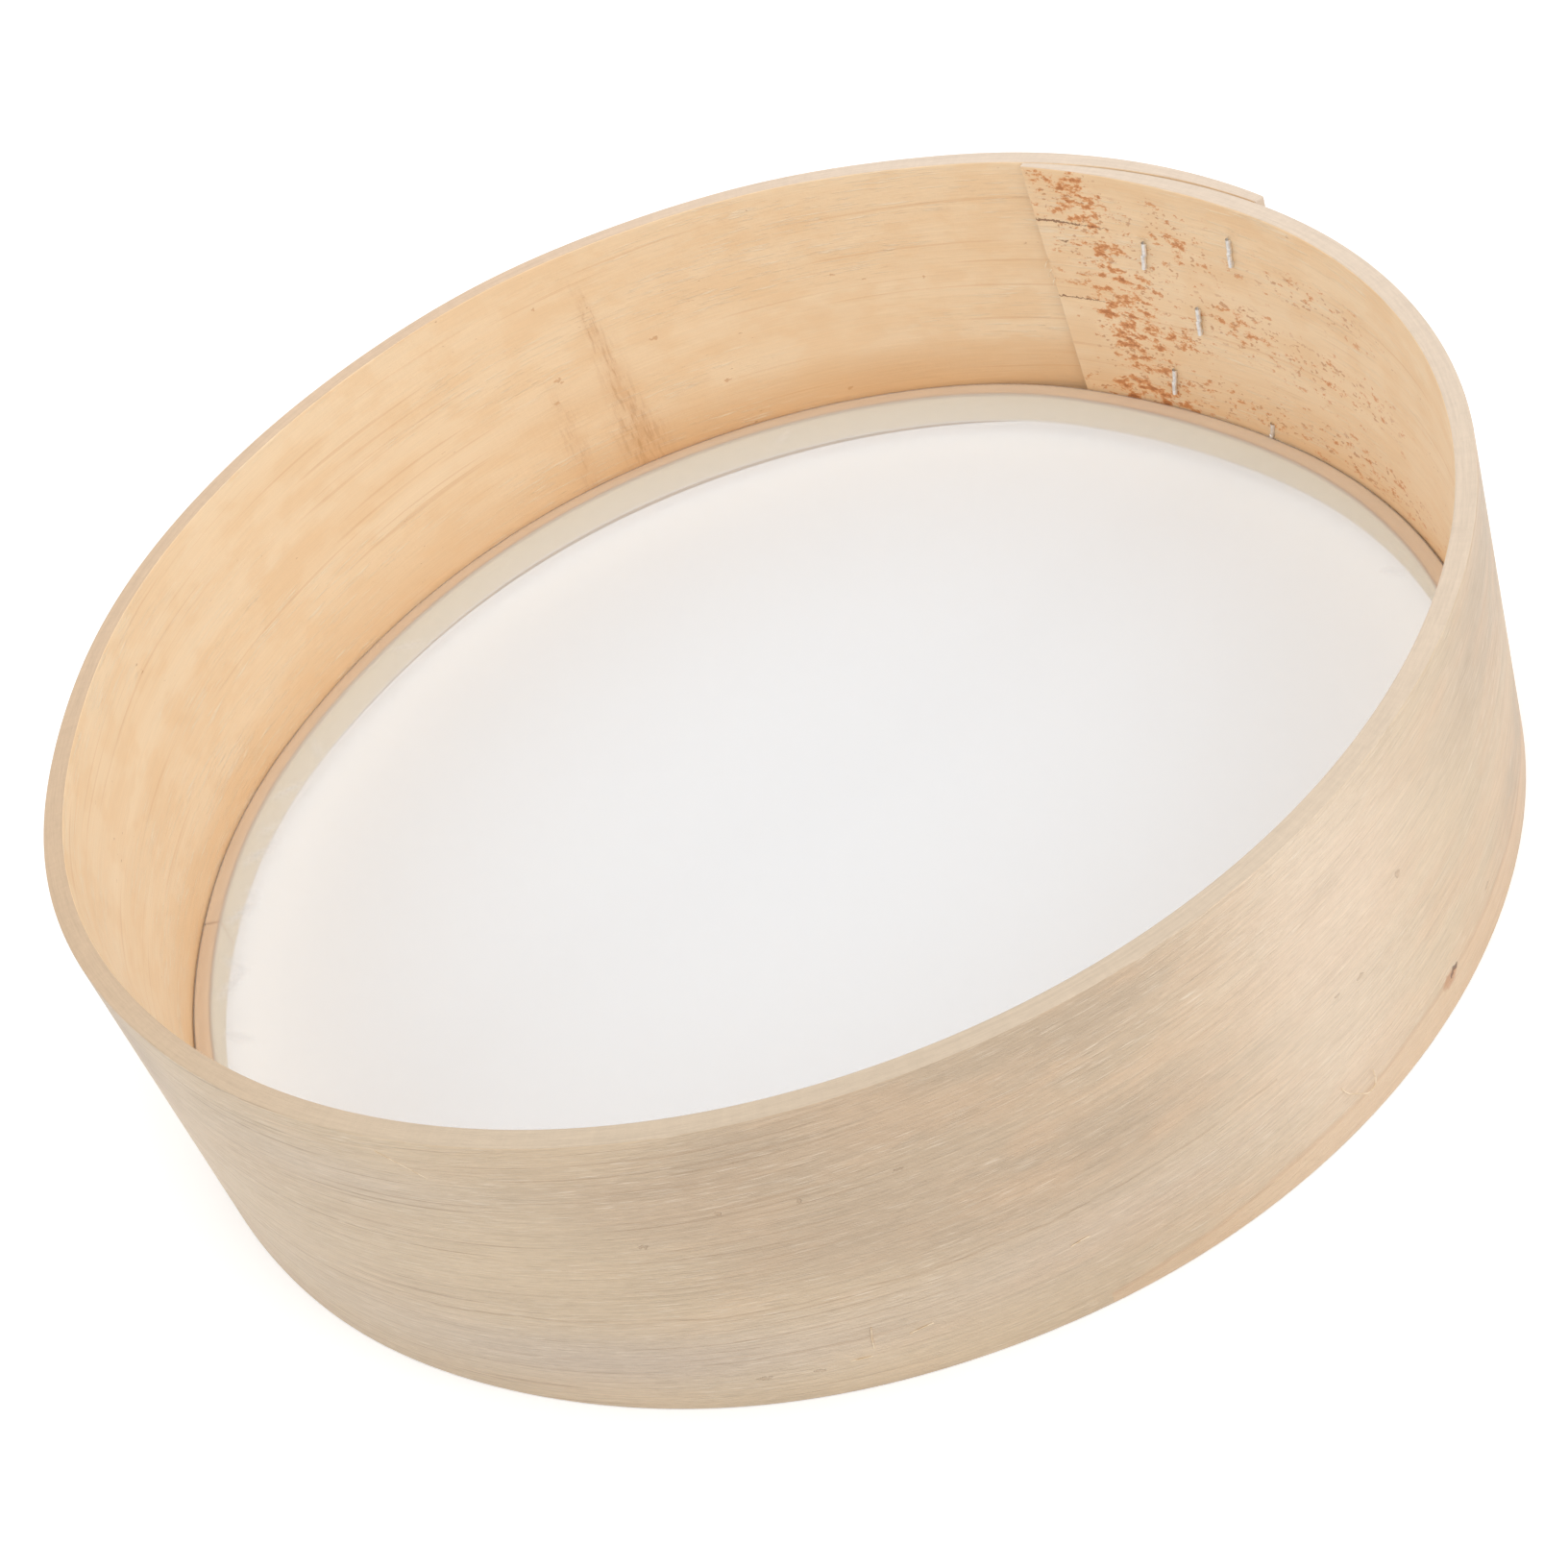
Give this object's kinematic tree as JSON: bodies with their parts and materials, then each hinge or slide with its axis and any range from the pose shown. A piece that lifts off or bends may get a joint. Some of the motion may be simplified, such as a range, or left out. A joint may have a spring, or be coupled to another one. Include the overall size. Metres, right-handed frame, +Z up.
{
  "type": "tamis drum sieve",
  "caption": "Low open drum of bent wood, lapped and stapled, with fine nylon cloth stretched across its foot over a narrow clamping hoop, for sifting flour and passing purees.",
  "frame": {"origin": "centre of the drum's foot, on the surface that it stands on", "axes": "+Z up the drum's axis, out of its open top; the lap of the hoop lies between +X and +Y, from 44 to 69 degrees anticlockwise from +X"},
  "size_m": [0.3, 0.3, 0.077],
  "materials": {
    "drum_wood": "raw sawn and shaved poplar, unvarnished, matt with fine fibres",
    "clamp_wood": "raw shaved poplar, unvarnished, matt",
    "nylon_cloth": "very fine white bolting cloth, translucent, soft sheen",
    "staple_wire": "galvanised wire, bright, slightly dulled"
  },
  "bodies": {
    "root": {"drum_hoop": "drum_wood", "clamping_hoop": "clamp_wood", "mesh_screen": "nylon_cloth", "mesh_margin": "nylon_cloth", "lap_staples": "staple_wire"}
  },
  "joints": []
}
